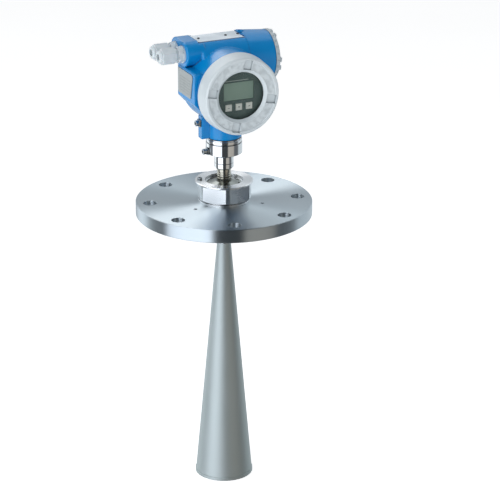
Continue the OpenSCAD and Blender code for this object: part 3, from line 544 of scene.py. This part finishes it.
# the camera stands to the left of the display; azimuths below count from it, towards the right
CAMERA_AZIMUTH = 24.0
CAMERA_PITCH = 20.9
CAMERA_DISTANCE = 3.813
CAMERA_HEIGHT = 1.391
LENS_MM = 180.864
SENSOR_MM = 36.0
LENS_SHIFT = 0.052

FLOOR_GAP = 0.5 * MM
FLOOR_HALF = 15.0
PAPER_GLOW = 0.61
WORLD_LEVEL = 0.35

TENT_STRENGTH = 3.0
TENT_RADIUS = 0.9
TENT_EAVES = 1.1
# brightness by azimuth, on the wall and on the roof, which takes over between these two heights
TENT_WALL = [
    (-180, "#76797c"), (-160, "#7d8183"), (-146, "#75797d"), (-132, "#b2b6b9"), (-116, "#b2b6b9"),
    (-108, "#888d8f"), (-101, "#4f5254"), (-76, "#4c4e51"), (-70, "#d5d8de"), (-17, "#d5d8de"),
    (-11, "#282a2b"), (22, "#282a2b"), (28, "#7b7771"), (61, "#75716c"), (69, "#414345"),
    (94, "#414345"), (105, "#898e91"), (150, "#8d9295"), (180, "#76797c"),
]
ROOF_FROM = 0.42
ROOF_FULL = 0.8
TENT_ROOF = [
    (-180, "#8b8e92"), (-166, "#ffffff"), (-110, "#ffffff"), (-100, "#606365"), (-70, "#4a4c4e"),
    (-58, "#f4f5f6"), (-20, "#f4f5f6"), (-10, "#282a2d"), (60, "#282a2d"), (100, "#45474a"),
    (115, "#babec0"), (160, "#babec0"), (180, "#8b8e92"),
]
# the roof's top is covered from here up
CAP_FROM = 1.33
CAP_FULL = 1.37
TENT_CAP = "#2a2c2e"

# name, azimuth, elevation, distance, width, height, radiance
SOFT_BOXES = [
    ("key_light", -42, 22, 2.4, 2.4, 2.2, 2.0),
    ("fill_light", 18, 22, 2.6, 1.6, 1.8, 0.7),
    ("top_light", 150, 72, 2.2, 2.0, 1.6, 1.3),
]


def stage_piece(name, points, faces, material):
    """Puts points and faces in a mesh object that belongs to the studio."""
    mesh = bpy.data.meshes.new(name)
    mesh.from_pydata(np.asarray(points).tolist(), [], np.asarray(faces).tolist())
    mesh.materials.append(material)
    obj = bpy.data.objects.new(name, mesh)
    scene.collection.objects.link(obj)
    return obj


def studio_paper(name):
    """Matt white paper lit from below, so that it stays white without lighting the part too much."""
    f = Finish(name, Emission_Strength=PAPER_GLOW, Emission_Color=(1.0, 1.0, 1.0, 1.0))
    cloud = f.grain(500)
    f.colour(cloud, "#f3f3f3", "#f7f7f7")
    f.gloss(cloud, 0.88, 0.92)
    return f.material


def tent_shell(radius, eaves, around=96, up=24):
    """Cylinder round the Z axis, closed by a shallow dome.

    The wall is x = r sin a, y = -r cos a with z from -eaves to eaves. On the dome the radius
    shrinks as the cosine of an angle while the height grows by a third of its sine.
    """
    a = np.linspace(0, 2 * np.pi, around + 1)[:-1]
    lift = np.linspace(0, 0.49 * np.pi, 10)[1:]
    r = np.concatenate([np.full(up, radius), radius * np.cos(lift)])
    z = np.concatenate([np.linspace(-eaves, eaves, up), eaves + radius / 3 * np.sin(lift)])
    points = np.stack(
        [np.outer(r, np.sin(a)), -np.outer(r, np.cos(a)), np.outer(z, np.ones(around))], -1
    )
    i, j = np.meshgrid(np.arange(around), np.arange(len(r) - 1))
    a0 = (j * around + i).ravel()
    a1 = (j * around + (i + 1) % around).ravel()
    return points.reshape(-1, 3), np.stack([a0, a1, a1 + around, a0 + around], -1)


def tent_cloth(name):
    """Translucent cloth with black flags between its panels: its glow depends on azimuth and height.

    The azimuth is that of the place on the cloth, atan2(x, -y), turned so that the camera's is 0.
    """
    f = Finish(
        name, Base_Color=(0.0, 0.0, 0.0, 1.0), Specular_IOR_Level=0.0, Emission_Strength=TENT_STRENGTH
    )
    at = f.add("SeparateXYZ", {"Vector": f.place}).node.outputs
    forward = f.add("Math", {0: at["Y"], 1: -1.0}, operation="MULTIPLY")
    azimuth = f.add("Math", {0: at["X"], 1: forward}, operation="ARCTAN2")
    turned = f.add("Math", {0: azimuth, 1: math.radians(CAMERA_AZIMUTH)}, operation="ADD")
    wrapped = f.add("Math", {0: turned, 1: math.pi, 2: -math.pi}, operation="WRAP")
    share = f.add("MapRange", {"Value": wrapped, "From Min": -math.pi, "From Max": math.pi})
    wall, roof = [
        f.add("ValToRGB", {"Fac": share}, stops=[(0.5 + angle / 360, code) for angle, code in rows])
        for rows in (TENT_WALL, TENT_ROOF)
    ]
    heights = {"Value": at["Z"], "From Min": ROOF_FROM, "From Max": ROOF_FULL}
    rise = f.add("MapRange", heights, interpolation_type="SMOOTHSTEP")
    mix = {"Factor": rise, COLOUR_A: wall, COLOUR_B: roof}
    panels = f.add("Mix", mix, out=COLOUR_OUT, data_type="RGBA")
    over = f.add("MapRange", {"Value": at["Z"], "From Min": CAP_FROM, "From Max": CAP_FULL})
    mix = {"Factor": over, COLOUR_A: panels, COLOUR_B: linear(TENT_CAP)}
    f.feed("Emission Color", f.add("Mix", mix, out=COLOUR_OUT, data_type="RGBA"))
    return f.material


def soft_box(name, azimuth, elevation, distance, width, height, radiance):
    """A rectangular lamp on a sphere round the head, facing it; azimuth counts from the camera."""
    a = math.radians(azimuth - CAMERA_AZIMUTH)
    e = math.radians(elevation)
    way = np.array([math.sin(a) * math.cos(e), -math.cos(a) * math.cos(e), math.sin(e)])
    lamp = bpy.data.lights.new(name, "AREA")
    lamp.shape = "RECTANGLE"
    lamp.size = width
    lamp.size_y = height
    lamp.energy = radiance * math.pi * width * height
    obj = bpy.data.objects.new(name, lamp)
    scene.collection.objects.link(obj)
    obj.location = way * distance
    obj.rotation_euler = (math.radians(90) - e, 0, a)
    obj.visible_glossy = False


floor_z = cad_box[0][2] - FLOOR_GAP
sheet = np.array([(-1, -1), (1, -1), (1, 1), (-1, 1)]) * FLOOR_HALF
sheet = np.column_stack([sheet, np.full(4, floor_z)])
floor = stage_piece("studio_floor", sheet, [(0, 1, 2, 3)], studio_paper("studio_paper_white"))
floor.visible_glossy = False

# the tent is seen only in reflections, and the lamps only by what they light
tent = stage_piece("studio_tent", *tent_shell(TENT_RADIUS, TENT_EAVES), tent_cloth("studio_tent_cloth"))
for kind in ("camera", "diffuse", "transmission", "volume_scatter", "shadow"):
    setattr(tent, "visible_" + kind, False)

for row in SOFT_BOXES:
    soft_box(*row)

world = bpy.data.worlds.new("studio_world")
scene.world = world
world.use_nodes = True
sky = world.node_tree.nodes["Background"]
sky.inputs["Color"].default_value = linear("#f2f5f8")
sky.inputs["Strength"].default_value = WORLD_LEVEL

lens = bpy.data.cameras.new("studio_camera")
lens.sensor_width = SENSOR_MM
lens.lens = LENS_MM
lens.shift_x = LENS_SHIFT
lens.clip_end = 60.0
camera = bpy.data.objects.new("studio_camera", lens)
scene.collection.objects.link(camera)
turn = math.radians(CAMERA_AZIMUTH)
camera.location = (-CAMERA_DISTANCE * math.sin(turn), -CAMERA_DISTANCE * math.cos(turn), CAMERA_HEIGHT)
camera.rotation_euler = (math.radians(90 - CAMERA_PITCH), 0, -turn)
scene.camera = camera

scene.view_settings.view_transform = "Standard"
scene.view_settings.look = "None"
scene.view_settings.exposure = 0.0
